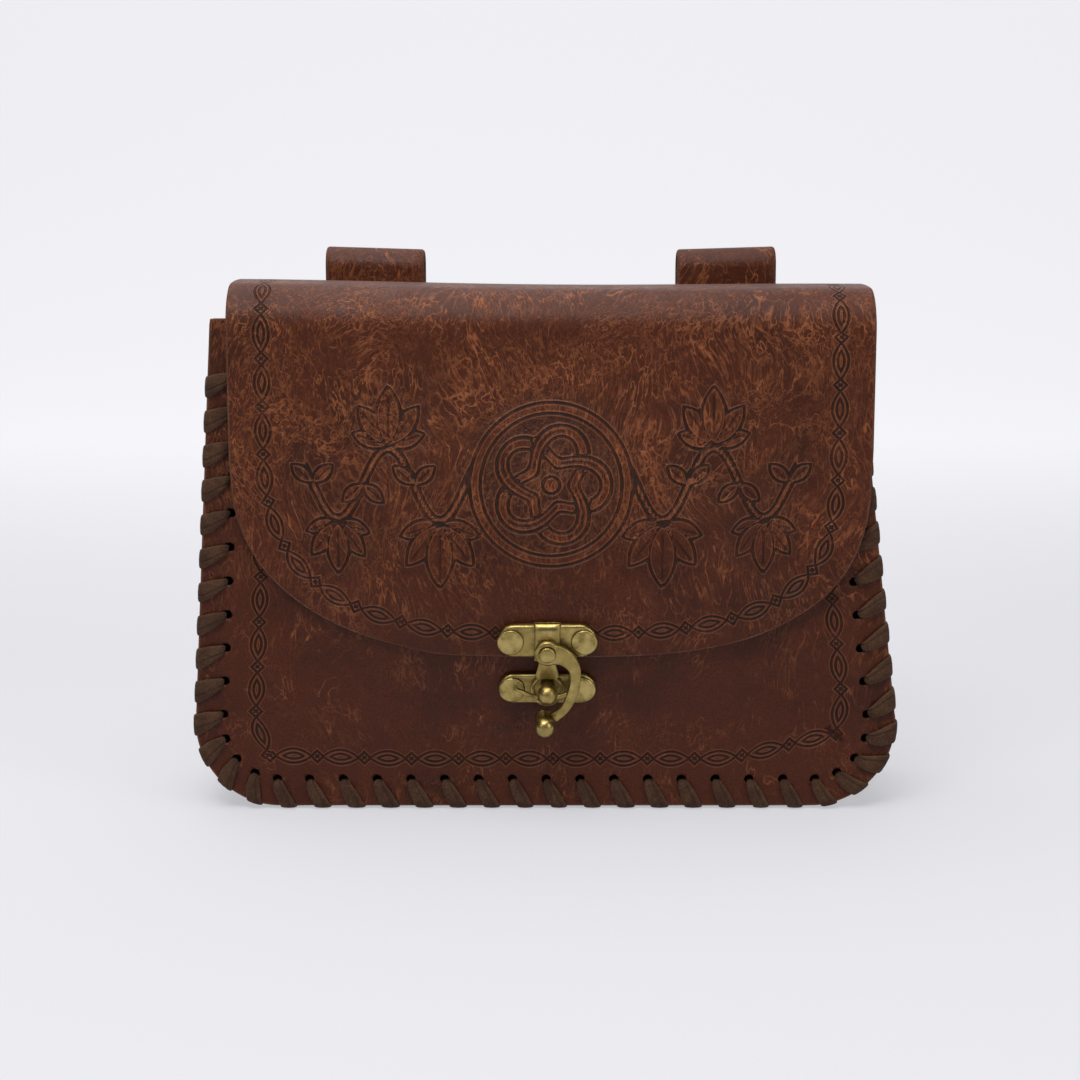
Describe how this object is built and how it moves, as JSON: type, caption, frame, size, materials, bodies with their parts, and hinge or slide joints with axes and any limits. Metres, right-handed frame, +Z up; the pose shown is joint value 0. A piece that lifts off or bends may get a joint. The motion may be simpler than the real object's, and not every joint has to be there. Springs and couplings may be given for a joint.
{
  "type": "medieval belt pouch",
  "caption": "Laced leather belt pouch with a rounded flap, a brass swing clasp and two belt loops behind.",
  "frame": {"origin": "below the middle of the whole pouch, level with the lowest stitches that it stands on", "axes": "+Z up, -Y out of the front with the flap and the clasp, +X to the right of someone facing the front"},
  "size_m": [0.2062, 0.0752, 0.1621],
  "materials": {
    "leather": "oiled reddish brown leather with a creased grain and a satin sheen",
    "lace": "matt dark olive brown suede thong",
    "brass": "antiqued brass, brushed and worn bright on the high spots"
  },
  "bodies": {
    "root": {"front_panel": "leather", "gusset": "leather", "back_and_flap": "leather", "front_lacing": "lace", "back_lacing": "lace", "belt_loop_left": "leather", "belt_loop_right": "leather", "loop_rivet_left_1": "brass", "loop_rivet_left_2": "brass", "loop_rivet_right_1": "brass", "loop_rivet_right_2": "brass", "lower_plate": "brass", "upper_plate": "brass", "upper_rivet_left": "brass", "upper_rivet_right": "brass", "lower_rivet_left": "brass", "lower_rivet_right": "brass"},
    "arm": {"swing_arm": "brass"}
  },
  "joints": [
    {"name": "clasp_swing", "type": "hinge", "parent": "root", "child": "arm", "pos_m": [0.00046, -0.03333, 0.04999], "axis": [0, -0.9779, -0.2093], "range_deg": [0, 95]}
  ]
}
